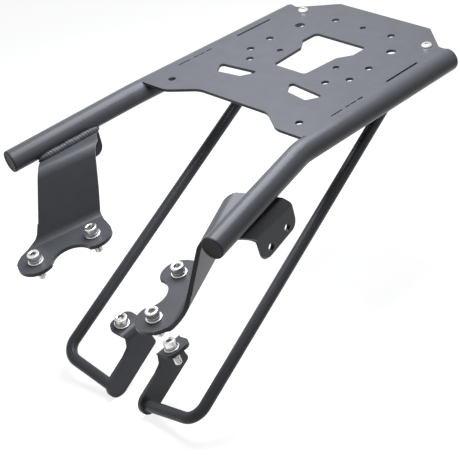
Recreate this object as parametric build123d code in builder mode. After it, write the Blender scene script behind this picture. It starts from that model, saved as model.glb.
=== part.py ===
from build123d import *
from math import cos, sin, radians
import os

os.makedirs("parts", exist_ok=True)

# Frame: Z up, top face of the plate at Z = 0, +Y towards the rear of the motorcycle,
# X = 0 on the line of symmetry, Y = 0 on the line through the two rear plate bolts.
# The rider's left side is +X. All sizes in millimetres.

# Top plate
plate_t = 3.0
plate_rear_y = 33.7
plate_front_y = -191.0
rear_corner_x = 62.5
rear_bolt_x = 85.7
front_mid_x = 47.9
front_tab_x = 77.8
front_tab_y = -210.7
plate_side_x = 112.0
rear_tab_x = 98.0
rear_corner_r = 7.0
front_corner_r = 20.0
window_corner_r = 4.5
slot_corner_r = 3.0
small_hole_r = 4.0
large_hole_r = 5.2
inner_hole_r = 3.4

# Side tubes
tube_r = 11.6
tube_bore_r = 9.6
tube_z = -11.45
tube_rear = Vector(108.7, 5.0, tube_z)
tube_bend = Vector(116.1, -218.2, tube_z)
tube_front = Vector(144.35, -363.1, -30.4)
tube_bend_r = 70.0
plug_lip = 1.5
plug_depth = 10.0
plug_step = 0.2
plug_edge_r = 0.8

# Main brackets, one bent sheet each
sheet_t = 4.0
bracket_corner = Vector(108.4, -378.6, -107.4)
bracket_out = Vector(0.9207, 0.3903, 0.0)
bracket_fore = Vector(0.3848, -0.9076, -0.1677)
flange_drop = 4.06
flange_depth = 47.4
web_lean = 15.0
web_length = 68.2
wing_fall = 10.28
wing_length = 62.0
tab_bend_front = (-45.0, 37.9)
tab_bend_rear = (-110.0, 56.4)
tab_turn = 76.0
tab_length = 42.0
sheet_bend_r = 10.0
blank_front = 32.0
blank_length = 148.0
ear_r = 19.0
bolt_inset = 27.0
front_bolt_a = 7.5
rear_bolt_a = -53.8
flange_arc_a = -24.0
flange_arc_out = 48.9
flange_arc_r = 21.0
cutter_reach = 60.0
bead_r = 3.8
bead_offset = Vector(-8.7, -2.2, -7.8)
bead_start = 28.0
bead_end = 100.0

# Hoop rods
rod_r = 6.0
rod_corner = Vector(97.2, -377.2, -233.0)
rod_under_plate = Vector(84.2, -24.0, -9.0)
rod_top = Vector(85.6, -8.0, -9.0)
rod_bend_r = 18.0
rod_leg_end = Vector(26.0, -377.4, -245.3)
tongue_t = 5.0
tongue_w = 16.0
collar_rim = 2.0
collar_h = 2.4
collar_taper = 38.0

# Hoop brackets
strap_x = 22.0
strap_end_y = -372.9
strap_end_z = -243.8
strap_end_r = 13.6
strap_rise = 33.6
ear_rise = 10.0
ear_bolt_out = 15.3
ear_length = 28.0
ear_bend_r = 7.0
ear_corner_r = 9.0
ear_origin = Vector(22.0, -344.0, -194.5)
ear_fore = Vector(0.0, -0.9898, -0.1414)

# Fasteners
m8_head_r = 6.5
m8_head_h = 6.3
m8_head_edge_r = 0.9
m8_socket_half = 3.0
m8_socket_depth = 3.2
m8_tip_chamfer = 0.8
m8_thread_r = 4.0
m8_neck_r = 3.6
m8_clear_r = 4.25
washer_r = 8.0
washer_t = 1.6
washer_bore_r = 4.2
washer_chamfer = 0.25
spring_washer_r = 6.9
spring_washer_t = 2.2
spring_gap = 0.9
bolt_l = 25.0
hoop_bolt_l = 22.0
button_head_r = 5.6
button_head_h = 3.2
button_edge_r = 2.4
m6_socket_half = 2.0
m6_socket_depth = 2.0
m6_nut_half = 5.0
m6_nut_h = 5.0
m6_tail = 6.0
m6_r = 3.0
m6_clear_r = 3.3
tab_hole_r = 4.0
tab_holes = [(-54.0, 23.1), (-27.8, 26.5)]


def save(piece, name):
    piece.label = name
    export_step(piece, "parts/" + name + ".step")


def mirrored(piece):
    return mirror(piece, about=Plane.YZ)


def tube_x(y):
    """X of the straight part of the left tube's centre line at a given Y."""
    part_way = (y - tube_rear.Y) / (tube_bend.Y - tube_rear.Y)
    return tube_rear.X + (tube_bend.X - tube_rear.X) * part_way


# Side tubes: straight under the plate edge, then bent outward and down

def tube_solid(radius):
    with BuildPart() as tube:
        with BuildLine():
            FilletPolyline(tube_rear, tube_bend, tube_front, radius=tube_bend_r)
        with BuildSketch(Plane(tube_rear, z_dir=tube_bend - tube_rear)):
            Circle(radius)
        sweep()
    return tube.part


tube_envelope = tube_solid(tube_r)
with BuildPart() as left_tube:
    add(tube_envelope)
    add(tube_solid(tube_bore_r), mode=Mode.SUBTRACT)

save(left_tube.part, "left_side_tube")
save(mirrored(left_tube.part), "right_side_tube")


def tube_plug(at, outward):
    """Flat plastic plug: a lip as wide as the tube and a short stem inside the bore."""
    with BuildPart() as plug:
        with BuildSketch(Plane(at, z_dir=outward)):
            Circle(tube_r - plug_step)
        extrude(amount=plug_lip)
        with BuildSketch(Plane(at, z_dir=outward)):
            Circle(tube_bore_r)
        extrude(amount=-plug_depth)
        fillet(plug.edges().filter_by(GeomType.CIRCLE).sort_by(lambda e: (e.center() - at).dot(outward))[-1:], plug_edge_r)
    return plug.part


front_plug = tube_plug(tube_front, (tube_front - tube_bend).normalized())
rear_plug = tube_plug(tube_rear, (tube_rear - tube_bend).normalized())
save(front_plug, "left_tube_front_plug")
save(mirrored(front_plug), "right_tube_front_plug")
save(rear_plug, "left_tube_rear_plug")
save(mirrored(rear_plug), "right_tube_rear_plug")


# Top plate: flat laser-cut sheet that runs out onto the two tubes

def mirrored_points(points):
    return [(-x, y) for x, y in points]


outline = [
    (0, plate_front_y),
    (front_mid_x, plate_front_y),
    (front_tab_x, front_tab_y),
    (plate_side_x, front_tab_y),
    (tube_rear.X, tube_rear.Y - 0.5),
    (rear_tab_x, tube_rear.Y - 0.5),
    (rear_corner_x, plate_rear_y),
    (0, plate_rear_y),
]
opening = [(34.7, -34.0), (35.2, -54.0), (24.6, -68.0), (21.8, -111.4)]
slot = [(71.6, -137.6), (61.8, -153.0), (32.8, -148.6), (21.4, -131.7)]
small_holes = [(38.5, 0.0), (69.0, -68.5), (69.0, -97.0), (52.5, -114.5), (89.0, -190.0)]
large_hole = (63.5, -28.5)
inner_hole = (39.0, -84.0)


def slit_points(y_from, y_to, inner, outer):
    """Narrow slit beside the tube's centre line, between two distances inboard of that line."""
    return [
        (tube_x(y_from) - inner, y_from),
        (tube_x(y_from) - outer, y_from),
        (tube_x(y_to) - outer, y_to),
        (tube_x(y_to) - inner, y_to),
    ]


front_slit = slit_points(-166.0, -118.0, 8.4, 6.4)
rear_slit = slit_points(-82.0, -34.0, 9.0, 6.4)

with BuildPart() as plate:
    with BuildSketch() as plate_face:
        Polygon(*(outline + mirrored_points(outline)[::-1]), align=None)
        fillet(plate_face.vertices().filter_by(lambda v: v.Y > 0 and abs(v.X) < 100), rear_corner_r)
        fillet(plate_face.vertices().filter_by(lambda v: v.Y < -180 and abs(v.X) < 100), front_corner_r)
        with BuildSketch(mode=Mode.PRIVATE) as window:
            Polygon(*(opening + mirrored_points(opening)[::-1]), align=None)
            fillet(window.vertices(), window_corner_r)
        add(window.sketch, mode=Mode.SUBTRACT)
        with BuildSketch(mode=Mode.PRIVATE) as side_slot:
            Polygon(*slot, align=None)
            fillet(side_slot.vertices(), slot_corner_r)
        add(side_slot.sketch, mode=Mode.SUBTRACT)
        add(mirror(side_slot.sketch, about=Plane.YZ), mode=Mode.SUBTRACT)
        for slit in (front_slit, rear_slit):
            Polygon(*slit, align=None, mode=Mode.SUBTRACT)
            Polygon(*mirrored_points(slit), align=None, mode=Mode.SUBTRACT)
        with Locations(*(small_holes + mirrored_points(small_holes))):
            Circle(small_hole_r, mode=Mode.SUBTRACT)
        with Locations(large_hole, (-large_hole[0], large_hole[1])):
            Circle(large_hole_r, mode=Mode.SUBTRACT)
        with Locations(inner_hole, (-inner_hole[0], inner_hole[1]), (0, 0)):
            Circle(inner_hole_r, mode=Mode.SUBTRACT)
        with Locations((rear_bolt_x, 0), (-rear_bolt_x, 0)):
            Circle(m6_clear_r, mode=Mode.SUBTRACT)
    extrude(amount=-plate_t)
    add(tube_envelope, mode=Mode.SUBTRACT)
    add(mirrored(tube_envelope), mode=Mode.SUBTRACT)

plate_body = plate.part.solids().sort_by(SortBy.VOLUME)[-1]
save(Part(plate_body.wrapped), "top_plate")


# Plug welds that fill the two front slits down to the tubes

with BuildPart() as plug_weld:
    with BuildSketch():
        Polygon(*front_slit, align=None)
    extrude(amount=-plate_t)
    add(tube_envelope, mode=Mode.SUBTRACT)
with BuildPart() as plate_plug_welds:
    add(plug_weld.part)
    add(mirrored(plug_weld.part))
save(plate_plug_welds.part, "plate_plug_welds")


# Main brackets: flange with two ears, tapered web, wing under the tube, tab outside

bracket_plane = Plane(origin=bracket_corner, x_dir=bracket_out, z_dir=bracket_fore)


def polar(start, length, angle):
    return (start[0] + length * cos(radians(angle)), start[1] + length * sin(radians(angle)))


low_corner = (0.0, 0.0)
flange_end = polar(low_corner, flange_depth, 180 + flange_drop)
top_corner = polar(low_corner, web_length, 90 - web_lean)
wing_end = polar(top_corner, wing_length, -wing_fall)


def along_sheet(corner, direction_angle):
    """Plane on one flat part of the sheet: local x runs down the bend line, y away from the corner."""
    y_dir = bracket_plane.x_dir * cos(radians(direction_angle))
    y_dir = y_dir + bracket_plane.y_dir * sin(radians(direction_angle))
    origin = bracket_plane.from_local_coords(Vector(corner[0], corner[1], 0))
    fore = bracket_plane.z_dir
    return Plane(origin=origin, x_dir=fore, z_dir=fore.cross(y_dir))


flange_plane = along_sheet(low_corner, 180 + flange_drop)
web_plane = along_sheet(low_corner, 90 - web_lean)
wing_plane = along_sheet(top_corner, -wing_fall)
low_bend_view = along_sheet(low_corner, (flange_drop - web_lean + 90) / 2)
top_bend_view = along_sheet(top_corner, (90 - web_lean - wing_fall) / 2)


def offcut(view, window, keep, reach, roundings):
    """What a cutter takes off: all within the window polygon but outside the kept outline."""
    with BuildPart() as waste:
        with BuildSketch(view):
            Polygon(*window, align=None)
            with BuildSketch(mode=Mode.PRIVATE) as kept:
                Polygon(*keep, align=None)
                for corner, radius in roundings:
                    fillet(kept.vertices().sort_by_distance(Vector(*corner))[:1], radius)
            add(kept.sketch, mode=Mode.SUBTRACT)
        extrude(amount=reach, both=True)
    return waste.part


# The tab's bend line runs along the tube, so the tab and its bend are drawn square to that line
tab_front = wing_plane.from_local_coords(Vector(*tab_bend_front))
tab_rear = wing_plane.from_local_coords(Vector(*tab_bend_rear))
tab_fore = (tab_front - tab_rear).normalized()
tab_section = Plane(origin=tab_front, x_dir=wing_plane.z_dir.cross(tab_fore), z_dir=tab_fore)
tab_down = tab_section.x_dir * cos(radians(tab_turn)) - tab_section.y_dir * sin(radians(tab_turn))
tab_plane = Plane(origin=tab_front, x_dir=tab_fore, z_dir=tab_fore.cross(tab_down))
tab_view_y = (tab_section.x_dir + tab_down) * -1
tab_bend_view = Plane(origin=tab_front, x_dir=tab_fore, z_dir=tab_fore.cross(tab_view_y))

with BuildPart() as tab_part:
    with BuildSketch(tab_section.offset(18)):
        with BuildLine():
            FilletPolyline((-17, 0), (0, 0), polar((0, 0), tab_length, -tab_turn), radius=sheet_bend_r)
        trace(line_width=sheet_t)
    extrude(amount=-90)
    tab_window = [(30, 16), (30, -44), (-90, -44), (-90, 16)]
    tab_outline = [
        (13.5, 16), (3.7, 5.8), (-13.8, -8.8), (-15.4, -29.4),
        (-67.4, -24.1), (-67.4, -5.0), (-63.2, 5.2), (-56.0, 16),
    ]
    add(
        offcut(
            tab_bend_view,
            tab_window,
            tab_outline,
            cutter_reach,
            [((-13.8, -8.8), 5), ((-15.4, -29.4), 10), ((-67.4, -24.1), 8.5), ((-67.4, -5.0), 10)],
        ),
        mode=Mode.SUBTRACT,
    )
    with BuildSketch(tab_plane):
        with Locations(*tab_holes):
            Circle(tab_hole_r)
    extrude(amount=8, both=True, mode=Mode.SUBTRACT)

with BuildPart() as bracket:
    with BuildSketch(bracket_plane.offset(blank_front)):
        with BuildLine():
            FilletPolyline(flange_end, low_corner, top_corner, wing_end, radius=sheet_bend_r)
        trace(line_width=sheet_t)
    extrude(amount=-blank_length)

    # Web, top bend and wing: narrower towards the top, leaning back along the tube
    top_window = [(60, -37), (60, 60), (-140, 60), (-140, -37)]
    top_outline = [
        (-11.0, -37), (-32.1, 0), (-42.8, 20.5), (-107.1, 34.0), (-99.7, 7.0), (-93.2, -1.5), (-77.9, -37),
    ]
    add(
        offcut(top_bend_view, top_window, top_outline, cutter_reach, [((-99.7, 7.0), 7), ((-93.2, -1.5), 6)]),
        mode=Mode.SUBTRACT,
    )

    # Low bend: the web's edges run out into the flange in a sweep
    low_window = [(60, -9.5), (60, 24), (-140, 24), (-140, -9.5)]
    low_outline = [
        (21.6, -9.5), (18.2, -6.2), (7.5, -1.0), (-4.0, 5.0), (-15.9, 24), (-81.7, 24), (-72.2, 2), (-71.5, -9.5),
    ]
    add(
        offcut(low_bend_view, low_window, low_outline, cutter_reach, [((7.5, -1.0), 14), ((-4.0, 5.0), 14)]),
        mode=Mode.SUBTRACT,
    )

    # Flange: two round ears and the concave arc between them
    with BuildSketch(flange_plane):
        with Locations((-45, 38)):
            Rectangle(210, 60)
        with BuildSketch(mode=Mode.PRIVATE) as flange_keep:
            Polygon((18.5, 7.5), (25.8, 19.5), (24.5, 27), (-73, 27), (-71.5, 7.5), align=None)
            with Locations((front_bolt_a, bolt_inset), (rear_bolt_a, bolt_inset)):
                Circle(ear_r)
            Polygon((front_bolt_a, 8), (rear_bolt_a, 8), (rear_bolt_a, 39), (front_bolt_a, 39), align=None)
            with Locations((flange_arc_a, flange_arc_out)):
                Circle(flange_arc_r, mode=Mode.SUBTRACT)
        add(flange_keep.sketch, mode=Mode.SUBTRACT)
    extrude(amount=6, both=True, mode=Mode.SUBTRACT)
    with BuildSketch(flange_plane):
        with Locations((front_bolt_a, bolt_inset), (rear_bolt_a, bolt_inset)):
            Circle(m8_clear_r)
    extrude(amount=8, both=True, mode=Mode.SUBTRACT)
    add(tab_part.part)

save(bracket.part, "left_main_bracket")
save(mirrored(bracket.part), "right_main_bracket")


# Weld beads along the inner side of each tube, on top of the wing

bead_plane = Plane(tube_front, z_dir=tube_bend - tube_front)
with BuildPart() as bead:
    with BuildSketch(bead_plane):
        with Locations(bead_plane.to_local_coords(tube_front + bead_offset)):
            Circle(bead_r)
    extrude(amount=bead_end)
    with BuildSketch(bead_plane):
        Circle(40)
    extrude(amount=bead_start, mode=Mode.SUBTRACT)
    add(tube_envelope, mode=Mode.SUBTRACT)
    add(bracket.part, mode=Mode.SUBTRACT)
bead_body = Part(bead.part.solids().sort_by(SortBy.VOLUME)[-1].wrapped)
save(bead_body, "left_bracket_weld")
save(mirrored(bead_body), "right_bracket_weld")


# Hoop rods: from under the rear plate corner, down and forward, then in to the strap

def rod_solid(radius):
    with BuildPart() as rod:
        with BuildLine():
            FilletPolyline(rod_top, rod_under_plate, rod_corner, rod_leg_end, radius=rod_bend_r)
        with BuildSketch(Plane(rod_top, z_dir=rod_under_plate - rod_top)):
            Circle(radius)
        sweep()
    return rod.part


with BuildPart() as hoop:
    add(rod_solid(rod_r))
    with BuildSketch(Plane.XY.offset(-plate_t)):
        with Locations((rear_bolt_x, -6)):
            Rectangle(tongue_w, 16)
        with Locations((rear_bolt_x, 0)):
            Circle(tongue_w / 2)
        with Locations((rear_bolt_x - 0.4, -16)):
            Trapezoid(2 * rod_r, 6, 90)
    extrude(amount=-tongue_t)
    with Locations((rear_bolt_x, 0, -plate_t)):
        Hole(m6_clear_r, depth=20)
    split(bisect_by=Plane.XY.offset(-plate_t), keep=Keep.BOTTOM)
    split(bisect_by=Plane.YZ.offset(rod_leg_end.X), keep=Keep.TOP)
save(hoop.part, "left_hoop_rod")
save(mirrored(hoop.part), "right_hoop_rod")


# Hoop brackets: upright strap with a rounded lower end and an ear bent outward

ear_section = Plane(origin=ear_origin, x_dir=(1, 0, 0), z_dir=ear_fore)


def strap_point(along, across):
    """Point of the strap outline: along its length from the lower end, across its width."""
    y = strap_end_y + along * cos(radians(strap_rise)) - across * sin(radians(strap_rise))
    z = strap_end_z + along * sin(radians(strap_rise)) + across * cos(radians(strap_rise))
    return (y, z)


with BuildPart() as hoop_bracket:
    with BuildSketch(ear_section):
        with BuildLine():
            FilletPolyline((2, -80), (2, -1.68), polar((2, -1.68), ear_length, ear_rise), radius=ear_bend_r)
        trace(line_width=sheet_t)
    extrude(amount=60, both=True)
    with BuildSketch(Plane.YZ):
        with Locations((-350, -240)):
            Rectangle(190, 170)
        with BuildSketch(mode=Mode.PRIVATE) as strap_keep:
            with BuildSketch(mode=Mode.PRIVATE) as upper:
                Polygon(
                    strap_point(0, -strap_end_r),
                    strap_point(58, -strap_end_r),
                    (-322.0, -212),
                    (-326.5, -180),
                    (-356, -180),
                    (-356, -197.5),
                    (-352.4, -201.5),
                    (-352.4, -211.5),
                    strap_point(25, strap_end_r),
                    strap_point(0, strap_end_r),
                    align=None,
                )
                fillet(upper.vertices().filter_by(lambda v: -235 < v.Y < -205), 4)
            add(upper.sketch)
            with Locations((strap_end_y, strap_end_z)):
                Circle(strap_end_r)
        add(strap_keep.sketch, mode=Mode.SUBTRACT)
    extrude(amount=90, mode=Mode.SUBTRACT)
    ear_plane = Plane(
        origin=ear_origin,
        x_dir=ear_fore,
        z_dir=ear_fore.cross(ear_section.x_dir * cos(radians(ear_rise)) + ear_section.y_dir * sin(radians(ear_rise))),
    )
    with BuildSketch(ear_plane):
        with Locations((-2, 30)):
            Rectangle(60, 50)
        with BuildSketch(mode=Mode.PRIVATE) as ear_keep:
            Polygon((12, -4), (12, 25.5), (-17.5, 26.5), (-17.5, -4), align=None)
            fillet(ear_keep.vertices().filter_by(lambda v: v.Y > 10), ear_corner_r)
        add(ear_keep.sketch, mode=Mode.SUBTRACT)
    extrude(amount=12, both=True, mode=Mode.SUBTRACT)
    with BuildSketch(ear_plane):
        with Locations((0, ear_bolt_out)):
            Circle(m8_clear_r)
    extrude(amount=12, both=True, mode=Mode.SUBTRACT)
save(hoop_bracket.part, "left_hoop_bracket")
save(mirrored(hoop_bracket.part), "right_hoop_bracket")


# Fasteners. A seat is the plane of the sheet face under the washer, Z pointing to the head

def ring(seat, outer, inner, height, start=0.0):
    with BuildPart() as washer:
        with BuildSketch(seat.offset(start)):
            Circle(outer)
            Circle(inner, mode=Mode.SUBTRACT)
        extrude(amount=height)
        chamfer(washer.edges().filter_by(GeomType.CIRCLE).sort_by(SortBy.LENGTH)[-2:], washer_chamfer)
    return washer.part


def split_ring(seat, outer, inner, height, start):
    with BuildPart() as washer:
        with BuildSketch(seat.offset(start)):
            Circle(outer)
            Circle(inner, mode=Mode.SUBTRACT)
            with Locations((outer, 0)):
                Rectangle(outer, spring_gap, mode=Mode.SUBTRACT)
        extrude(amount=height)
    return washer.part


def socket_bolt(seat, length, start, neck):
    """Low-head socket screw: head above the washers, thinner neck through the sheet, thread below it."""
    with BuildPart() as bolt:
        with BuildSketch(seat.offset(start)):
            Circle(m8_head_r)
        extrude(amount=m8_head_h)
        fillet(bolt.edges().filter_by(GeomType.CIRCLE).sort_by(lambda e: e.center().dot(seat.z_dir))[-1:], m8_head_edge_r)
        with BuildSketch(seat.offset(start + m8_head_h)):
            RegularPolygon(m8_socket_half, 6, major_radius=False)
        extrude(amount=-m8_socket_depth, mode=Mode.SUBTRACT)
        with BuildSketch(seat.offset(start)):
            Circle(m8_neck_r)
        extrude(amount=-neck)
        with BuildSketch(seat.offset(start - neck)):
            Circle(m8_thread_r)
        extrude(amount=neck - length)
        chamfer(bolt.edges().filter_by(GeomType.CIRCLE).sort_by(lambda e: e.center().dot(seat.z_dir))[:1], m8_tip_chamfer)
    return bolt.part


def button_screw(seat, length):
    with BuildPart() as screw:
        with BuildSketch(seat):
            Circle(button_head_r)
        extrude(amount=button_head_h)
        fillet(screw.edges().filter_by(GeomType.CIRCLE).sort_by(lambda e: e.center().dot(seat.z_dir))[-1:], button_edge_r)
        with BuildSketch(seat.offset(button_head_h)):
            RegularPolygon(m6_socket_half, 6, major_radius=False)
        extrude(amount=-m6_socket_depth, mode=Mode.SUBTRACT)
        with BuildSketch(seat):
            Circle(m6_r)
        extrude(amount=-length)
    return screw.part


def grouped(pieces, name):
    """Left and right copies of each piece in one node, as separate solids."""
    with BuildPart() as group:
        for piece in pieces:
            add(piece)
            add(mirrored(piece))
    save(group.part, name)
    return group.part


flange_top = flange_plane.offset(-sheet_t / 2)
seats = []
for bolt_a in (front_bolt_a, rear_bolt_a):
    centre = flange_top.from_local_coords(Vector(bolt_a, bolt_inset, 0))
    seats.append(Plane(origin=centre, x_dir=bracket_fore, z_dir=-flange_plane.z_dir))
hoop_seat = Plane(origin=ear_plane.from_local_coords(Vector(0, ear_bolt_out, 0)), x_dir=ear_fore, z_dir=ear_plane.z_dir)
under_head = washer_t + spring_washer_t

grouped([ring(seat, washer_r, washer_bore_r, washer_t) for seat in seats + [hoop_seat]], "flat_washers")
grouped(
    [split_ring(seat, spring_washer_r, washer_bore_r, spring_washer_t, washer_t) for seat in seats + [hoop_seat]],
    "spring_washers",
)
neck_l = under_head + sheet_t
screws = [socket_bolt(seat, bolt_l, under_head, neck_l) for seat in seats]
screws.append(socket_bolt(hoop_seat, hoop_bolt_l, under_head, neck_l))
grouped(screws, "bracket_bolts")

plate_seat = Plane(origin=(rear_bolt_x, 0, 0))
grouped([button_screw(plate_seat, plate_t + tongue_t + m6_tail)], "plate_button_screws")
with BuildPart() as nut:
    with BuildSketch(plate_seat.offset(-plate_t - tongue_t)):
        RegularPolygon(m6_nut_half, 6, major_radius=False)
        Circle(m6_r, mode=Mode.SUBTRACT)
    extrude(amount=-m6_nut_h)
grouped([nut.part], "plate_nuts")


# Weld collars where the rod legs meet the straps

with BuildPart() as collar:
    with BuildSketch(Plane(rod_leg_end, z_dir=(1, 0, 0))):
        Circle(rod_r + collar_rim)
    extrude(amount=collar_h, taper=collar_taper)
    add(rod_solid(rod_r), mode=Mode.SUBTRACT)
grouped([collar.part], "hoop_welds")
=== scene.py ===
# %% [markdown]
# # A motorcycle luggage rack, dressed for the camera
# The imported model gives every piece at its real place, in metres: +Z up from the plate,
# +Y towards the rear of the motorcycle. This script leaves those pieces where they are.
# It gives each one its finish, and builds finer pieces where a real one has ripples,
# threads or rounded edges that the plain solids leave out.

# %% Load the fixed frame
import math

import bmesh
import bpy
import numpy as np
from mathutils import Matrix, Vector


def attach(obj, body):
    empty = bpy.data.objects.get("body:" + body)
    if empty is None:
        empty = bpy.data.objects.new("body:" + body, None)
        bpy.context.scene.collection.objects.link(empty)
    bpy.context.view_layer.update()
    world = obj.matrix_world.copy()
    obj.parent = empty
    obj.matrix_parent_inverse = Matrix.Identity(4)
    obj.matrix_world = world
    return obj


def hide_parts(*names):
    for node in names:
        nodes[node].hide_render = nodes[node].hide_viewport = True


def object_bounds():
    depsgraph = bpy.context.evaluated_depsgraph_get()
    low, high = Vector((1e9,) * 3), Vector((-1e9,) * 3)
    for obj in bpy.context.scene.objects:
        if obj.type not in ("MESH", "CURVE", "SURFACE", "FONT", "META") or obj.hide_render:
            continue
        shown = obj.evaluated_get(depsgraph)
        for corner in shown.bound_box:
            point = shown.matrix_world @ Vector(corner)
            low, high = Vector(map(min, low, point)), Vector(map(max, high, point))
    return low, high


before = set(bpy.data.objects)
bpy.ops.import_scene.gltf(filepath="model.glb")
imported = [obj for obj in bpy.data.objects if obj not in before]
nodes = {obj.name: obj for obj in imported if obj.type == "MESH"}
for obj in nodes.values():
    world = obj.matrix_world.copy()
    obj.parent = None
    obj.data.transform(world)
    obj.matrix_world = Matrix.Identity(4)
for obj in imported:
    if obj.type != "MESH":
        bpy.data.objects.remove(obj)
cad_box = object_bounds()
MM = 0.001
print("pieces in the frame:", len(nodes))

# %% [markdown]
# ## The camera
# A camera is a place, a direction, a roll and a lens. The photograph looks at the rack from
# its left front corner, about 1.5 m away and 30 degrees above the plate, with a small roll.
# Azimuth 0 looks along +Y. The matrix is built from three unit vectors: right, up and back.

# %% Place the camera
azimuth, elevation, roll = np.radians([49.814, 30.392, -8.419])
distance = 1.489343
target = np.array([0.174857, -0.366253, 0.0])
focal_px = 1744.669
frame_px = 460
sensor_mm = 36.0
far_clip = 50.0

back = np.array([
    math.sin(azimuth) * math.cos(elevation),
    -math.cos(azimuth) * math.cos(elevation),
    math.sin(elevation),
])
level_right = np.cross([0.0, 0.0, 1.0], back)
level_right /= np.linalg.norm(level_right)
level_up = np.cross(back, level_right)
right = math.cos(roll) * level_right + math.sin(roll) * level_up
up = -math.sin(roll) * level_right + math.cos(roll) * level_up

camera_data = bpy.data.cameras.new("photo_camera")
camera_data.sensor_fit = "HORIZONTAL"
camera_data.sensor_width = sensor_mm
camera_data.lens = focal_px * sensor_mm / frame_px
camera_data.clip_end = far_clip
camera = bpy.data.objects.new("photo_camera", camera_data)
camera_at = target + distance * back
camera.matrix_world = Matrix([
    [right[0], up[0], back[0], camera_at[0]],
    [right[1], up[1], back[1], camera_at[1]],
    [right[2], up[2], back[2], camera_at[2]],
    [0, 0, 0, 1],
])
bpy.context.scene.collection.objects.link(camera)
bpy.context.scene.camera = camera
print("lens", round(camera_data.lens, 1), "mm, camera at", camera_at.round(3))

# %% [markdown]
# ## One soft box
# A dark satin coat shows its form by broad, soft highlights. So the studio has one soft box
# close above the plate, which makes the plate bright in front and darker towards the rear. It
# is an area lamp, turned by a matrix of three directions, and the camera doesn't see it.

# %% Hang the soft box
view = bpy.context.scene.view_settings
view.view_transform = "Standard"


def soft_box(name, at, towards, size, watts, tint):
    """A rectangular lamp at a point, turned so that its face looks towards another point. Its
    first side lies across the rack: it is the cross product of the aim and the Y axis."""
    lamp = bpy.data.lights.new(name, "AREA")
    lamp.shape = "RECTANGLE"
    lamp.size, lamp.size_y = size
    lamp.energy = watts
    lamp.color = tint
    box = bpy.data.objects.new(name, lamp)
    aim = (Vector(towards) - Vector(at)).normalized()
    across = aim.cross(Vector((0.0, 1.0, 0.0))).normalized()
    turn = Matrix((across, -aim.cross(across), -aim)).transposed()
    box.matrix_world = Matrix.Translation(at) @ turn.to_4x4()
    box.visible_camera = False
    bpy.context.scene.collection.objects.link(box)


soft_box(
    "top_soft_box",
    at=(-0.030, -0.120, 0.37),
    towards=(-0.010, -0.16, 0.0),
    size=(0.44, 0.44),
    watts=6.4,
    tint=(0.90, 0.925, 1.0),
)
print("lamps:", [lamp.name for lamp in bpy.data.lights])

# %% [markdown]
# ## A pale world
# An even pale world lights what the soft box doesn't reach, weakly, so the sides stay dark. To
# the camera and to mirror rays it is pure white instead, so the background is white and the
# steel has something bright to reflect, without more light on the rack.

# %% Light the world
fill_colour = (0.97, 0.985, 1.0)
fill_strength = 0.11
white_colour = (1.0, 1.0, 1.0)


def shown_rays(tree):
    """1 for a ray from the camera, a mirror or glass, and 0 for any other: the greatest of three
    outputs of the Light Path node."""
    path = tree.nodes.new("ShaderNodeLightPath")
    value = path.outputs["Is Camera Ray"]
    for ray in ("Is Glossy Ray", "Is Transmission Ray"):
        greater = tree.nodes.new("ShaderNodeMath")
        greater.operation = "MAXIMUM"
        tree.links.new(value, greater.inputs[0])
        tree.links.new(path.outputs[ray], greater.inputs[1])
        value = greater.outputs[0]
    return value


world = bpy.data.worlds.new("pale_studio")
bpy.context.scene.world = world
world.use_nodes = True
tree = world.node_tree
tree.nodes.clear()
fill = tree.nodes.new("ShaderNodeBackground")
fill.inputs["Color"].default_value = (*fill_colour, 1.0)
fill.inputs["Strength"].default_value = fill_strength
white = tree.nodes.new("ShaderNodeBackground")
white.inputs["Color"].default_value = (*white_colour, 1.0)
white.inputs["Strength"].default_value = 1.0
choose = tree.nodes.new("ShaderNodeMixShader")
world_out = tree.nodes.new("ShaderNodeOutputWorld")
tree.links.new(shown_rays(tree), choose.inputs["Fac"])
tree.links.new(fill.outputs[0], choose.inputs[1])
tree.links.new(white.outputs[0], choose.inputs[2])
tree.links.new(choose.outputs[0], world_out.inputs["Surface"])
print("world:", world.name)

# %% [markdown]
# ## The floor
# The floor touches the lowest point of the rack. It is a matt pale paint that takes the rack's
# shadow. For the camera and for mirror rays it also glows, so that it reads as white without
# more light on the rack.

# %% Lay the floor
floor_z = cad_box[0].z
floor_half = 12.0
floor_grey = 0.45
floor_glow = 0.84
floor_mesh = bpy.data.meshes.new("floor")
floor_mesh.from_pydata(
    [(-floor_half, -floor_half, floor_z), (floor_half, -floor_half, floor_z),
     (floor_half, floor_half, floor_z), (-floor_half, floor_half, floor_z)],
    [], [(0, 1, 2, 3)],
)
floor = bpy.data.objects.new("floor", floor_mesh)
bpy.context.scene.collection.objects.link(floor)

floor_paint = bpy.data.materials.new("pale_floor")
floor_paint.use_nodes = True
tree = floor_paint.node_tree
tree.nodes.clear()
diffuse = tree.nodes.new("ShaderNodeBsdfDiffuse")
diffuse.inputs["Color"].default_value = (floor_grey, floor_grey, floor_grey, 1.0)
glow = tree.nodes.new("ShaderNodeEmission")
glow.inputs["Color"].default_value = (*white_colour, 1.0)
glow.inputs["Strength"].default_value = floor_glow
lit = tree.nodes.new("ShaderNodeAddShader")
pick = tree.nodes.new("ShaderNodeMixShader")
floor_out = tree.nodes.new("ShaderNodeOutputMaterial")
tree.links.new(diffuse.outputs[0], lit.inputs[0])
tree.links.new(glow.outputs[0], lit.inputs[1])
tree.links.new(shown_rays(tree), pick.inputs["Fac"])
tree.links.new(diffuse.outputs[0], pick.inputs[1])
tree.links.new(lit.outputs[0], pick.inputs[2])
tree.links.new(pick.outputs[0], floor_out.inputs["Surface"])
floor_mesh.materials.append(floor_paint)
print("floor at", round(floor_z, 4))

# %% [markdown]
# ## Small tools for materials
# Each finish on the rack is made from a few node groups that repeat: noise fixed to the
# piece, a range for its values, a tint that follows it and a bump. Each is one short function.

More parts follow.
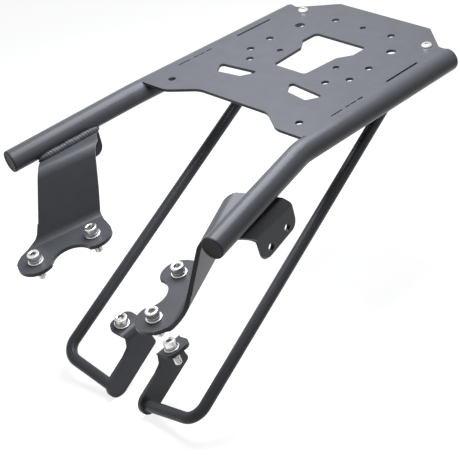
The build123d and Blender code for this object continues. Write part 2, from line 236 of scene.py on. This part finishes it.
# %% Write the material tools
def noise(tree, scale, detail=3.0, roughness=0.5):
    """Noise in Object coordinates: the scale is in waves per metre."""
    place = tree.nodes.new("ShaderNodeTexCoord")
    cloud = tree.nodes.new("ShaderNodeTexNoise")
    cloud.inputs["Scale"].default_value = scale
    cloud.inputs["Detail"].default_value = detail
    cloud.inputs["Roughness"].default_value = roughness
    tree.links.new(place.outputs["Object"], cloud.inputs["Vector"])
    return cloud.outputs["Fac"]


def between(tree, value, low, high):
    """Maps a value from 0..1 to low..high."""
    scale = tree.nodes.new("ShaderNodeMapRange")
    scale.inputs["To Min"].default_value = low
    scale.inputs["To Max"].default_value = high
    tree.links.new(value, scale.inputs["Value"])
    return scale.outputs["Result"]


def bumped(tree, height, strength, depth, under=None):
    """A bump node, depth in metres, on top of another normal where one is given."""
    bump = tree.nodes.new("ShaderNodeBump")
    bump.inputs["Strength"].default_value = strength
    bump.inputs["Distance"].default_value = depth
    tree.links.new(height, bump.inputs["Height"])
    if under is not None:
        tree.links.new(under, bump.inputs["Normal"])
    return bump.outputs["Normal"]


def tinted(tree, value, dark, light):
    """A colour that drifts from dark to light with a value."""
    ramp = tree.nodes.new("ShaderNodeValToRGB")
    ramp.color_ramp.elements[0].position = 0.3
    ramp.color_ramp.elements[0].color = (*dark, 1.0)
    ramp.color_ramp.elements[1].position = 0.7
    ramp.color_ramp.elements[1].color = (*light, 1.0)
    tree.links.new(value, ramp.inputs["Fac"])
    return ramp.outputs["Color"]


def finish(name):
    """A new material with its node tree and its Principled shader."""
    material = bpy.data.materials.new(name)
    material.use_nodes = True
    return material, material.node_tree, material.node_tree.nodes["Principled BSDF"]


print("material tools are ready")

# %% [markdown]
# ## Satin black powder coat
# Powder coat is a thick baked paint. Its colour is an even near-black, its gloss is satin, and
# its skin is very slightly uneven, like the peel of an orange, with a finer grain on top.
# The material is a Principled shader whose roughness drifts a little, with two bump scales.

# %% Mix the powder coat
def powder_coat(name, dark, light, rough_low, rough_high, specular):
    """Satin paint: colour and roughness drift slowly, and two bumps lie on one another."""
    material, tree, coat = finish(name)
    shade = tinted(tree, noise(tree, scale=60.0), dark, light)
    tree.links.new(shade, coat.inputs["Base Color"])
    rough = between(tree, noise(tree, scale=25.0), rough_low, rough_high)
    tree.links.new(rough, coat.inputs["Roughness"])
    coat.inputs["Specular IOR Level"].default_value = specular
    peel_noise = noise(tree, scale=420.0, detail=2.0)
    peel = bumped(tree, peel_noise, strength=0.10, depth=0.10 * MM)
    grain_noise = noise(tree, scale=2600.0, detail=2.0)
    grain = bumped(tree, grain_noise, strength=0.10, depth=0.02 * MM, under=peel)
    tree.links.new(grain, coat.inputs["Normal"])
    return material


coat = powder_coat(
    "satin_powder_coat",
    dark=(0.059, 0.061, 0.067),
    light=(0.066, 0.068, 0.075),
    rough_low=0.32,
    rough_high=0.36,
    specular=0.24,
)
print("coat:", coat.name)

# %% [markdown]
# ## Four steels
# The screws are bright steel. The flat washers are stamped and a little duller, the spring
# washers are a darker steel, and the sockets get a rough, darker steel as painted shade in their
# recesses. All four are one metal shader, whose colour and roughness vary over a millimetre or so.

# %% Mix the steels
steel_darkening = 0.92
rough_spread = 0.10


def turned_steel(name, colour, rough):
    """Metal whose colour, roughness and skin vary with three fine noises."""
    material, tree, steel = finish(name)
    steel.inputs["Metallic"].default_value = 1.0
    darker = tuple(steel_darkening * c for c in colour)
    shade = tinted(tree, noise(tree, scale=900.0), darker, colour)
    tree.links.new(shade, steel.inputs["Base Color"])
    dulled = between(tree, noise(tree, scale=1500.0), rough, rough + rough_spread)
    tree.links.new(dulled, steel.inputs["Roughness"])
    grain = bumped(tree, noise(tree, scale=3000.0), strength=0.05, depth=0.02 * MM)
    tree.links.new(grain, steel.inputs["Normal"])
    return material


steel = turned_steel("bright_steel", (0.80, 0.795, 0.78), 0.18)
washer_steel = turned_steel("stamped_steel", (0.74, 0.735, 0.72), 0.30)
spring_steel = turned_steel("spring_steel", (0.36, 0.36, 0.355), 0.26)
# This steel is darker only to paint the shade inside the hexagon sockets.
socket_shade_steel = turned_steel("socket_painted_shade_steel", (0.40, 0.40, 0.39), 0.30)
print("steels:", [m.name for m in (steel, washer_steel, spring_steel, socket_shade_steel)])

# %% [markdown]
# ## Plug plastic
# The plugs in the tube ends are moulded in black plastic. It is neutral and matt, so it looks
# duller and less blue than the coat beside it.

# %% Mix the plastic
def plug_plastic(name):
    """Dull plastic: a nearly even black, rough, with a fine moulded grain."""
    material, tree, plastic = finish(name)
    shade = tinted(tree, noise(tree, scale=300.0), dark=(0.012,) * 3, light=(0.018,) * 3)
    tree.links.new(shade, plastic.inputs["Base Color"])
    rough = between(tree, noise(tree, scale=800.0), low=0.5, high=0.6)
    tree.links.new(rough, plastic.inputs["Roughness"])
    plastic.inputs["Specular IOR Level"].default_value = 0.3
    grain = bumped(tree, noise(tree, scale=2000.0), strength=0.2, depth=0.03 * MM)
    tree.links.new(grain, plastic.inputs["Normal"])
    return material


plastic = plug_plastic("dull_black_plastic")
print("plastic:", plastic.name)

# %% [markdown]
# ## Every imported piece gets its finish
# The fasteners are steel, the tube plugs are plastic, and all the rest is coated. Pieces that
# a finer one replaces further down get their finish here too.

# %% Dress the nodes
STEEL_NODES = (
    "bracket_bolts", "flat_washers", "spring_washers", "plate_button_screws", "plate_nuts",
)
for name, piece in nodes.items():
    piece.data.materials.clear()
    if name in STEEL_NODES:
        piece.data.materials.append(steel)
    elif "plug" in name and "weld" not in name:
        piece.data.materials.append(plastic)
    else:
        piece.data.materials.append(coat)
print("dressed:", len(nodes))

# %% [markdown]
# ## Rounded edges on the cut sheet and the tubes
# A laser leaves a crisp edge, and the powder coat then wraps round it with a radius of a few
# tenths of a millimetre. That thin round is what catches the light along every edge. The packed
# meshes are loose triangles, so a Weld modifier joins them first. Bevel rounds only the edges
# that turn by more than 30 degrees, and Weighted Normal keeps the flat faces flat.

# %% Round the edges
sheet_edge = 0.35 * MM
tube_edge = 0.25 * MM
merge_gap = 0.002 * MM
sharp_turn = math.radians(30)


def round_edges(piece, radius):
    """Joins the loose triangles, then rounds each sharp edge with the given radius."""
    weld = piece.modifiers.new("join", "WELD")
    weld.merge_threshold = merge_gap
    bevel = piece.modifiers.new("round", "BEVEL")
    bevel.width = radius
    bevel.segments = 2
    bevel.limit_method = "ANGLE"
    bevel.angle_limit = sharp_turn
    bevel.use_clamp_overlap = True
    normals = piece.modifiers.new("flatten", "WEIGHTED_NORMAL")
    normals.mode = "FACE_AREA"
    normals.keep_sharp = False


for name in nodes:
    if name == "top_plate" or name.endswith(("main_bracket", "hoop_bracket")):
        round_edges(nodes[name], sheet_edge)
    elif name.endswith(("side_tube", "hoop_rod")):
        round_edges(nodes[name], tube_edge)
print("pieces with rounded edges:", sum(bool(n.modifiers) for n in nodes.values()))

# %% [markdown]
# ## Surfaces from grids of points
# Every new piece is a grid of points worked out with numpy: rows run along the piece and columns
# run round it. One helper turns such grids into a mesh, and merges the points that meet at
# seams and poles, so each piece is closed.

# %% Turn grids of points into a piece
def skin(name, grids, material, crease=40.0):
    """Faces join each point to its neighbours in the next row and column of its own grid. Points
    at the same place are merged, and all the faces are turned outwards."""
    points, faces, start = [], [], 0
    for grid in grids:
        rows, columns = grid.shape[:2]
        index = start + np.arange(rows * columns).reshape(rows, columns)
        corners = (index[:-1, :-1], index[:-1, 1:], index[1:, 1:], index[1:, :-1])
        faces.append(np.stack(corners, axis=-1).reshape(-1, 4))
        points.append(grid.reshape(-1, 3))
        start += rows * columns
    mesh = bpy.data.meshes.new(name)
    mesh.from_pydata(np.concatenate(points).tolist(), [], np.concatenate(faces).tolist())
    work = bmesh.new()
    work.from_mesh(mesh)
    bmesh.ops.remove_doubles(work, verts=work.verts, dist=merge_gap)
    bmesh.ops.recalc_face_normals(work, faces=work.faces)
    work.to_mesh(mesh)
    work.free()
    mesh.shade_smooth()
    mesh.set_sharp_from_angle(angle=math.radians(crease))
    mesh.materials.append(material)
    piece = bpy.data.objects.new(name, mesh)
    bpy.context.scene.collection.objects.link(piece)
    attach(piece, "root")
    print(name, "faces:", len(mesh.polygons))
    return piece


print("a piece can be made from grids of points")

# %% [markdown]
# ## A frame for each round piece
# Screws, washers, nuts and plugs are turned about an axis that leans with the sheet or tube it
# goes into. So each sits on an axis frame: a centre, the direction of the axis and two directions
# across. A profile of radius and height is spun about it, as on a lathe.

# %% Set up axis frames and outlines
class AxisFrame:
    """A place to build on: a centre, a direction up, and two directions across."""

    def __init__(self, centre, up, turn=0.0):
        self.centre = np.array(centre, float)
        self.up = np.array(up, float) / np.linalg.norm(up)
        side = np.cross(self.up, [0.0, 1.0, 0.0])
        side /= np.linalg.norm(side)
        front = np.cross(self.up, side)
        self.side = math.cos(turn) * side + math.sin(turn) * front
        self.front = np.cross(self.up, self.side)

    def raised(self, height):
        """The same frame, higher up its own axis."""
        other = AxisFrame(self.centre + height * self.up, self.up)
        other.side, other.front = self.side, self.front
        return other

    def spin(self, angle, radius, height):
        """Centre + height * up + radius * (cos angle * side + sin angle * front). Radius and
        height are in millimetres."""
        across = np.cos(angle)[..., None] * self.side + np.sin(angle)[..., None] * self.front
        return self.centre + MM * (radius[..., None] * across + height[..., None] * self.up)


def six_sided(angle, half):
    """Distance from the centre to a hexagon's side: half / cos(angle), with the angle folded to
    within 30 degrees of the middle of a side."""
    folded = (angle + np.pi / 6) % (np.pi / 3) - np.pi / 6
    return half / np.cos(folded)


def arc(centre, radius, start, end, count):
    """Points of an arc in a profile: centre + radius * (cos t, sin t), t in degrees."""
    t = np.radians(np.linspace(start, end, count))
    return np.column_stack([centre[0] + radius * np.cos(t), centre[1] + radius * np.sin(t)])


to_side, to_corner = six_sided(np.radians([0.0, 30.0]), 3.0)
print("a hexagon's side at", round(to_side, 2), "has its corner at", round(to_corner, 2))

# %% [markdown]
# ## Where the fasteners sit
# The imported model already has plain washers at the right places. Each washer's points are
# gathered by distance, their mean is the centre, and the direction in which they spread
# least is the axis. So the finer screws need no numbers of their own for their places. Each
# screw stopped at its own angle when it was tightened, so each frame is turned further.

# %% Measure the seats
screw_turn = 2.4


def node_points(name):
    """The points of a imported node, each one once."""
    mesh = nodes[name].data
    flat = np.empty(3 * len(mesh.vertices), np.float32)
    mesh.vertices.foreach_get("co", flat)
    return np.unique(np.round(flat.reshape(-1, 3).astype(float), 7), axis=0)


def ring_seats(name, reach):
    """A seat at the underside of each ring of a node, in metres."""
    left, found = node_points(name), []
    while len(left):
        near = np.linalg.norm(left - left[0], axis=1) < reach
        ring, left = left[near], left[~near]
        centre = ring.mean(axis=0)
        axis = np.linalg.eigh(np.cov((ring - centre).T))[1][:, 0]
        axis *= np.sign(axis[2])
        low = ((ring - centre) @ axis).min()
        found.append(AxisFrame(centre + low * axis, axis, turn=screw_turn * len(found)))
    return found


screw_seats = ring_seats("flat_washers", 20 * MM)
print("screw seats:", [tuple(np.round(1000 * s.centre, 1)) for s in screw_seats])

# %% [markdown]
# ## Heads with a hexagon socket
# A socket screw has a round head, turned or pressed, with a hexagon pressed into it and often
# fine grooves for the fingers round its side. The head is a profile spun about the axis. The
# rows of the socket take the distance to a hexagon instead of a circle, and a short taper at
# its mouth leads the key in. The socket's faces get a darker steel as painted shade for the recess.

# %% Shape a head with its socket
groove_depth = 0.10
socket_mouth = 1.13
mouth_depth = 0.35
tip_share = 0.8
tip_step = 0.1
tip_depth = 0.9
shade_reach = 1.12
bright_rim = 0.2


def screw_head(seat, profile, half, depth, top, grooves=0, groove_rows=(0.0, 0.0)):
    """Rings from a profile of (radius, height), then the socket: a rim, a wall and a floor whose
    radius is the distance to a hexagon. Grooves cut into the rings between two heights."""
    angle = np.linspace(0, 2 * np.pi, 4 * max(grooves, 18) + 1)
    one = np.ones_like(angle)
    radius = profile[:, :1] * one
    height = profile[:, 1:] * one
    if grooves:
        cut = (height > groove_rows[0]) & (height < groove_rows[1])
        radius = radius - groove_depth * cut * np.abs(np.sin(0.5 * grooves * angle))
    wall = six_sided(angle, half)
    inner = [
        (socket_mouth * wall, top), (wall, top - mouth_depth), (wall, top - depth),
        (tip_share * wall, top - depth - tip_step), (0 * one, top - depth - tip_depth),
    ]
    radius = np.vstack([radius] + [r for r, _ in inner])
    height = np.vstack([height] + [h * one for _, h in inner])
    return seat.spin(angle * np.ones_like(radius), radius, height)


def paint_socket_shade(piece, seats, half, depth, top):
    """Gives the faces in the sockets a darker steel, as painted shade for the recess. A face lies
    in a socket where it is nearer to the axis than the hexagon's half width with a little to spare,
    below the bright rim and no lower than just under the socket's tip."""
    low = top - depth - tip_depth - tip_step
    high = top - bright_rim
    mesh = piece.data
    # The second slot is the darker steel that paints shade into the sockets.
    mesh.materials.append(socket_shade_steel)
    flat = np.empty(3 * len(mesh.polygons), np.float32)
    mesh.polygons.foreach_get("center", flat)
    inside = np.zeros(len(mesh.polygons), bool)
    for seat in seats:
        away = (flat.reshape(-1, 3) - seat.centre) / MM
        height = away @ seat.up
        radius = np.linalg.norm(away - height[:, None] * seat.up, axis=1)
        inside |= (radius < shade_reach * half) & (height > low) & (height < high)
    mesh.polygons.foreach_set("material_index", inside.astype(np.int32))
    print("socket faces:", int(inside.sum()))


print("a socket's mouth is", socket_mouth, "times as wide as its hexagon")

# %% [markdown]
# ## Rolled threads
# A thread is one ridge that climbs round the rod. Its radius is a triangle wave of height plus
# turn: the height in pitches and the turn as a share of a circle make the same sum all along
# the ridge, so it comes out as a helix. The end of the rod is chamfered.

# %% Shape a threaded rod
rows_per_pitch = 7
end_cut = 1.3
into_head = 1.0


def threaded_shank(seat, radius, pitch, depth, start, end, columns=32):
    """A rod whose radius drops by a triangle wave of (height / pitch + turn). The plus sign winds
    the thread to the left, and a minus sign would wind it to the right, as on a real screw. The
    end is chamfered: there the radius is at most the full one, less end_cut times the thread's
    depth, plus the distance from the end."""
    angle = np.linspace(0, 2 * np.pi, columns + 1)
    rows = int((start - end) / pitch * rows_per_pitch)
    height = np.linspace(start, end, rows)[:, None] + 0 * angle
    wave = np.abs(2 * ((height / pitch + angle / (2 * np.pi)) % 1.0) - 1)
    ring = radius - depth * wave
    ring = np.minimum(ring, radius - depth * end_cut + (height - end))
    ring[0] = 0
    ring = np.vstack([ring, 0 * angle])
    height = np.vstack([height, end + 0 * angle])
    return seat.spin(angle * np.ones_like(ring), ring, height)


print("a thread has", rows_per_pitch, "rows of points for each pitch")

# %% [markdown]
# ## Cap screws
# Six M8 socket screws hold the rack to the motorcycle, four through the brackets' flanges and
# two through the ears of the hoop brackets. The head is low, with a grooved side and a rounded
# top edge. A spring washer and a flat washer lie under it, so it sits that much above its seat.
# The four seats lie higher than the two, which tells them apart, and their screws are longer.

# %% Build the cap screws
head_r = 6.5
head_h = 6.3
head_edge = 1.1
foot_edge = 0.2
grip_low = 0.6
grip_grooves = 54
socket_half = 3.0
socket_depth = 3.4
thread_r = 4.0
thread_pitch = 1.25
thread_depth = 0.65
washer_t = 1.6
spring_t = 2.2
under_head = washer_t + spring_t
flange_reach = 25.0
hoop_reach = 22.0
between_z = -150 * MM

cap_profile = np.vstack([
    [(0.0, 0.0), (head_r - foot_edge, 0.0), (head_r, foot_edge)],
    np.column_stack([np.full(5, head_r), np.linspace(grip_low, head_h - 1.5, 5)]),
    arc((head_r - head_edge, head_h - head_edge), head_edge, 0, 90, 7),
])
cap_grids = []
head_seats = [seat.raised(under_head * MM) for seat in screw_seats]
for seat, lifted in zip(screw_seats, head_seats):
    head = screw_head(
        lifted, cap_profile, socket_half, socket_depth, head_h, grip_grooves,
        groove_rows=(grip_low, head_h - 1.4),
    )
    is_flange_screw = seat.centre[2] > between_z
    reach = flange_reach if is_flange_screw else hoop_reach
    shank = threaded_shank(lifted, thread_r, thread_pitch, thread_depth, into_head, -reach)
    cap_grids += [head, shank]
cap_screws = skin("cap_screws", cap_grids, steel, crease=50)
# The sockets get painted shade: a darker steel on their faces.
paint_socket_shade(cap_screws, head_seats, socket_half, socket_depth, head_h)
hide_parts("bracket_bolts")

# %% [markdown]
# ## Washers
# Under each head lies a split spring washer, a bar of square section wound into one turn of a
# helix, and below it a flat washer, stamped with slightly rounded edges. Both are a rounded bar
# carried round the axis. The spring washer has a slanted gap, where its two ends are closed.

# %% Build the washers
washer_bore = 4.2
washer_r = 8.0
spring_bore = 4.3
spring_r = 6.75
spring_low = washer_t + 0.05
spring_high = under_head - 0.02
spring_gap = 9.0
spring_rise = 0.05
end_slant = 14
corner_power = 0.33


def bar_ring(seat, inner, outer, low, high, gap=0.0, rise=0.0):
    """A rounded rectangle between two radii and two heights, carried round the axis. Rounding:
    cosine and sine raised to a power of about a third, signs kept. With a gap (degrees), the bar
    stops short of a full turn, climbs by the rise, and its slanted ends shrink to a point."""
    around = np.linspace(gap / 2, 360 - gap / 2, 65)
    section = np.linspace(0, 2 * np.pi, 25)
    shape_r = np.sign(np.cos(section)) * np.abs(np.cos(section)) ** corner_power
    shape_h = np.sign(np.sin(section)) * np.abs(np.sin(section)) ** corner_power
    size = np.ones_like(around)
    if gap:
        around = np.concatenate([around[:1], around, around[-1:]])
        size = np.concatenate([[0.0], size, [0.0]])
    radius = (inner + outer) / 2 + (outer - inner) / 2 * size[:, None] * shape_r
    lift = rise * (around / 360 - 0.5)
    height = (low + high) / 2 + lift[:, None] + (high - low) / 2 * size[:, None] * shape_h
    slant = end_slant * size[:, None] * shape_h if gap else 0
    return seat.spin(np.radians(around[:, None] + slant + 0 * shape_r), radius, height)


flat_rings = [bar_ring(seat, washer_bore, washer_r, 0.0, washer_t) for seat in screw_seats]
flat_washers = skin("flat_washers_turned", flat_rings, washer_steel)
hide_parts("flat_washers")
spring_rings = [
    bar_ring(seat, spring_bore, spring_r, spring_low, spring_high, spring_gap, spring_rise)
    for seat in screw_seats
]
spring_washers = skin("spring_washers_wound", spring_rings, spring_steel)
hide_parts("spring_washers")

# %% [markdown]
# ## Button screws at the rear corners
# Two M6 button screws hold the hoop rods under the plate. Their heads are low domes with a small
# socket. The dome is a stretch of an ellipse in the profile. Its seats come from the packed
# screws: the middle of each gives X and Y, and the plate's top face is at height 0.

# %% Build the button screws
button_r = 5.6
button_h = 3.2
button_socket_half = 2.0
button_socket_depth = 1.8
button_turn = 1.1
dome_foot = 0.5
dome_angle = 0.98
m6_r = 3.0
m6_pitch = 1.0
m6_depth = 0.5
m6_end = -14.0


def node_seats(name, reach):
    """An upright seat at the middle of each loose solid of a node, on the plate's top face."""
    left, found = node_points(name), []
    while len(left):
        near = np.linalg.norm(left - left[0], axis=1) < reach
        solid, left = left[near], left[~near]
        middle = (solid.min(axis=0) + solid.max(axis=0)) / 2
        on_plate = (middle[0], middle[1], 0.0)
        found.append(AxisFrame(on_plate, (0.0, 0.0, 1.0), turn=button_turn * len(found)))
    return found


dome_t = dome_angle * np.linspace(0.0, 1.0, 12)
dome_rise = np.sin(dome_t) / np.sin(dome_angle)
dome_height = dome_foot + (button_h - dome_foot) * dome_rise
dome = np.column_stack([button_r * np.cos(dome_t), dome_height])
dome_profile = np.vstack([
    [(0.0, 0.0), (button_r - foot_edge, 0.0), (button_r, foot_edge)],
    dome,
])
button_seats = node_seats("plate_button_screws", 40 * MM)
button_grids = []
for seat in button_seats:
    head = screw_head(seat, dome_profile, button_socket_half, button_socket_depth, button_h)
    shank = threaded_shank(seat, m6_r, m6_pitch, m6_depth, into_head, m6_end, columns=24)
    button_grids += [head, shank]
button_screws = skin("button_screws", button_grids, steel, crease=50)
# The sockets get painted shade: a darker steel on their faces.
paint_socket_shade(
    button_screws, button_seats, button_socket_half, button_socket_depth, button_h
)
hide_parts("plate_button_screws")

# %% [markdown]
# ## Hexagon nuts
# Below the rod's flattened tongue each button screw has a nut. It is cut from hexagon bar and its
# corners are turned off, so its radius is the lesser of a hexagon and a cone.

# %% Build the nuts
plate_t = 3.0
tongue_t = 5.0
nut_top = -plate_t - tongue_t
nut_half = 5.0
nut_h = 5.0
nut_bore = 2.7
nut_face = 0.97
nut_edge = 0.5
corner_slope = 1.6


def nut_grid(seat, top, height, half, bore):
    """Rings round the nut. In its three middle rows the radius is the lesser of a hexagon and a
    cone that widens away from each end."""
    angle = np.linspace(0, 2 * np.pi, 73)
    rows = [
        (bore, 0.0), (nut_face * half, 0.0), (half, nut_edge), (half, height / 2),
        (half, height - nut_edge), (nut_face * half, height), (bore, height), (bore, 0.0),
    ]
    levels = np.array([h for _, h in rows])
    radius = np.array([r for r, _ in rows])[:, None] + 0 * angle
    wall = six_sided(angle, half)
    for row in (2, 3, 4):
        from_end = min(levels[row], height - levels[row])
        radius[row] = np.minimum(wall, half + corner_slope * from_end)
    return seat.spin(angle + 0 * radius, radius, (top - levels)[:, None] + 0 * radius)


nut_grids = [nut_grid(seat, nut_top, nut_h, nut_half, nut_bore) for seat in button_seats]
nuts = skin("hex_nuts", nut_grids, steel, crease=25)
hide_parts("plate_nuts")

# %% [markdown]
# ## Tube plugs
# Each tube end is closed by a pushed-in plastic plug: a rim as wide as the tube with a rounded
# edge, and inside it a disc that lies a little lower, as moulded plugs have it. It is one profile
# spun about the tube's axis. The four ends come from three points of the tube's centre line.

# %% Build the plugs
tube_r = 11.6
tube_z = -11.45
tube_rear = np.array([108.7, 5.0, tube_z])
tube_bend = np.array([116.1, -218.2, tube_z])
tube_front = np.array([144.35, -363.1, -30.4])
MIRROR = np.array([-1.0, 1.0, 1.0])


def tube_x(y):
    """X of the straight run of the tube's centre line at a given Y, in millimetres."""
    share = (y - tube_rear[1]) / (tube_bend[1] - tube_rear[1])
    return tube_rear[0] + (tube_bend[0] - tube_rear[0]) * share


def turned(seat, profile, columns=72):
    """Each row of (radius, height) is carried round the axis as a circle."""
    angle = np.linspace(0, 2 * np.pi, columns + 1)
    radius = profile[:, :1] + 0 * angle
    height = profile[:, 1:] + 0 * angle
    return seat.spin(angle + 0 * radius, radius, height)


plug_profile = np.vstack([
    [(0.0, 0.85), (7.6, 0.85), (8.3, 0.95), (8.9, 1.35), (9.3, 1.5)],
    arc((tube_r - 1.1, 0.6), 0.9, 90, 0, 6),
    [(tube_r - 0.2, 0.05), (9.5, 0.0), (9.4, -9.6), (8.8, -10.0), (0.0, -10.0)],
])
plug_grids = []
for side in (np.ones(3), MIRROR):
    for end in (tube_front, tube_rear):
        seat = AxisFrame(MM * end * side, (end - tube_bend) * side)
        plug_grids.append(turned(seat, plug_profile))
plugs = skin("tube_plugs", plug_grids, plastic, crease=50)
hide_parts(*[name for name in nodes if name.endswith("_plug")])

# %% [markdown]
# ## Weld beads
# A welder lays a bead as a row of small overlapping pools, so its top looks like a stack of
# coins, and the coat covers it. A bead here is a rounded bar carried along a path. Its radius
# swells and drops once per pool as a saw-tooth wave, the pools bow along the bead, slow waves
# make it uneven, and it closes to a point at both ends.

# %% Build the beads along the brackets
def bead(path, across, upward, radius, pool, bow, uneven, relief, taper):
    """Points: path + r * (cos v * across + sin v * upward), all in millimetres. The radius r is
    radius * (1 + uneven waves - relief * square of the saw-tooth of (distance / pool +
    bow * cos v)), times a quarter circle over each end stretch, where the bead closes. The
    uneven waves are about 17, 8 and 26 mm long, and the last one also runs round the bead."""
    step = np.linalg.norm(np.diff(path, axis=0), axis=1)
    s = np.concatenate([[0.0], np.cumsum(step)])[:, None]
    v = np.linspace(0, 2 * np.pi, 33)
    swell = np.sin(s / 2.7 + 1.0) + 0.7 * np.sin(s / 1.31)
    waves = uneven * (swell + 0.6 * np.sin(3 * v + s / 4.1))
    saw = (s / pool + bow * np.cos(v - 0.6)) % 1.0
    r = radius * (1 + waves - relief * saw ** 2)
    if taper:
        near_end = np.clip(np.minimum(s, s[-1] - s) / taper, 0, 1)
        r = r * np.sqrt(1 - (1 - near_end) ** 2)
    ring = np.cos(v)[:, None] * across[:, None, :] + np.sin(v)[:, None] * upward[:, None, :]
    return MM * (path[:, None, :] + r[..., None] * ring)


bead_inward = -10.2
bead_forward = -1.0
bead_down = -8.0
run = (tube_bend - tube_front) / np.linalg.norm(tube_bend - tube_front)
bead_centre = tube_front + np.array([bead_inward, bead_forward, bead_down])
bead_start = 24.5
bead_end = 96.0
along = np.linspace(bead_start, bead_end, 260)[:, None]
bead_path = bead_centre + along * run
bead_out = np.cross(run, [0.0, 0.0, 1.0])
bead_out /= np.linalg.norm(bead_out)
bead_up = np.cross(bead_out, run)
rows = np.ones_like(along)
left_bead = bead(
    bead_path, bead_out * rows, bead_up * rows,
    radius=5.1, pool=3.1, bow=0.5, uneven=0.035, relief=0.08, taper=14.0,
)
welds_left = skin("left_bracket_bead", [left_bead], coat, crease=60)
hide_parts("left_bracket_weld")
welds_right = skin("right_bracket_bead", [left_bead * MIRROR], coat, crease=60)
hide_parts("right_bracket_weld")

# %% [markdown]
# ## Welds round the hoop legs
# Each rod leg butts against its strap and is welded all round. The same bead runs here on a
# circle about the leg, with a small radius and low ripples, because it blends smoothly.

# %% Build the hoop welds
rod_r = 6.0
leg_end = np.array([24.2, -377.4, -245.3])
weld_out = 0.4
turn = np.linspace(0, 2 * np.pi, 161)[:, None]
radial = np.cos(turn) * np.array([0.0, 1.0, 0.0]) + np.sin(turn) * np.array([0.0, 0.0, 1.0])
leg_axis = np.ones_like(turn) * np.array([1.0, 0.0, 0.0])
ring_bead = bead(
    leg_end + (rod_r + weld_out) * radial, radial, leg_axis,
    radius=2.1, pool=2.5, bow=0.3, uneven=0.02, relief=0.07, taper=0,
)
hoop_beads = skin("hoop_beads", [ring_bead, ring_bead * MIRROR], coat, crease=60)
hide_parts("hoop_welds")

# %% [markdown]
# ## The plate's edge on the tubes
# The plate runs out flush onto the tubes: the joint is welded and ground, so no seam shows. A
# thin skin bridges it, level with the plate at its inner edge and with the tube's crown at its
# outer edge. In between, its height follows the smooth step 3w^2 - 2w^3.

# %% Build the ground joint
joint_reach = 5.9
joint_front = -207.2
joint_rear = 4.2


def closed_band(y, inner, outer, top, bottom):
    """A band along Y: its section goes over the top from the inner to the outer edge and back
    underneath, and both ends close to a point. x = tube centre line - distance."""
    top_w = np.linspace(0, 1, top.shape[1])
    w = np.concatenate([top_w, top_w[::-1], [0.0]])
    z = np.concatenate([top, bottom + 0 * top[:, ::-1], top[:, :1]], axis=1)
    x = tube_x(y)[:, None] - (inner[:, None] + (outer - inner)[:, None] * w)
    grid = np.stack([x, y[:, None] + 0 * x, z], axis=-1)
    first, last = (row.mean(axis=1, keepdims=True) + 0 * row for row in (grid[:1], grid[-1:]))
    return MM * np.concatenate([first, grid, last], axis=0)


joint_y = np.linspace(joint_front, joint_rear, 60)
w = np.linspace(0, 1, 14)
blend_in = w * w * (3 - 2 * w)
crown = tube_z + tube_r
skin_t = 0.006
joint_past_axis = 0.3
joint_under = -0.5
joint_top = skin_t + (crown + skin_t) * blend_in + 0 * joint_y[:, None]
joint = closed_band(
    joint_y, joint_reach + 0 * joint_y, -joint_past_axis + 0 * joint_y, joint_top, joint_under
)
skin("ground_joints", [joint, joint * MIRROR], coat, crease=60)

# %% [markdown]
# ## The welds in the front slits
# Through each front slit a plug weld holds the plate to the tube. It fills the slit unevenly:
# along the inner edge it leaves short dark openings, with bridges of weld between them. The
# opening's width is a ragged wave, pulled to zero at each bridge by a bell-shaped curve. A
# bridge is a place along the slit and a width, both as shares of the slit's length.

# %% Build the slit welds
slit_inner = 8.4
slit_outer = 6.4
slit_front = -166.0
slit_rear = -118.0
fill_under = -2.6
fill_ripple = 0.04
opening_mean = 1.45
opening_most = 1.95
rear_widening = 0.5
bridge_pull = 2.6
bridge_places = ((0.0, 0.03), (0.415, 0.045), (0.62, 0.012), (0.815, 0.022))

slit_y = np.linspace(slit_front, slit_rear, 240)
along_slit = (slit_y - slit_y[0]) / (slit_y[-1] - slit_y[0])
ragged = 0.16 * np.sin(along_slit * 61) + 0.14 * np.sin(along_slit * 143 + 1.3)
bridges = sum(np.exp(-((along_slit - at) / wide) ** 4) for at, wide in bridge_places)
rear_end = rear_widening * np.clip((along_slit - 0.85) / 0.05, 0, 1)
closed_end = np.clip((1 - along_slit) / 0.01, 0, 1)
width = opening_mean + ragged + rear_end - bridge_pull * bridges
opening = np.clip(width, 0.0, opening_most) * closed_end
fill_top = -fill_ripple - fill_ripple * np.sin(along_slit[:, None] * 160 + 3 * w) + 0 * w
slit_fill = closed_band(slit_y, slit_inner - opening, slit_outer + 0 * slit_y, fill_top, fill_under)
slit_welds = skin("slit_welds", [slit_fill, slit_fill * MIRROR], coat, crease=60)
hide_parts("plate_plug_welds")
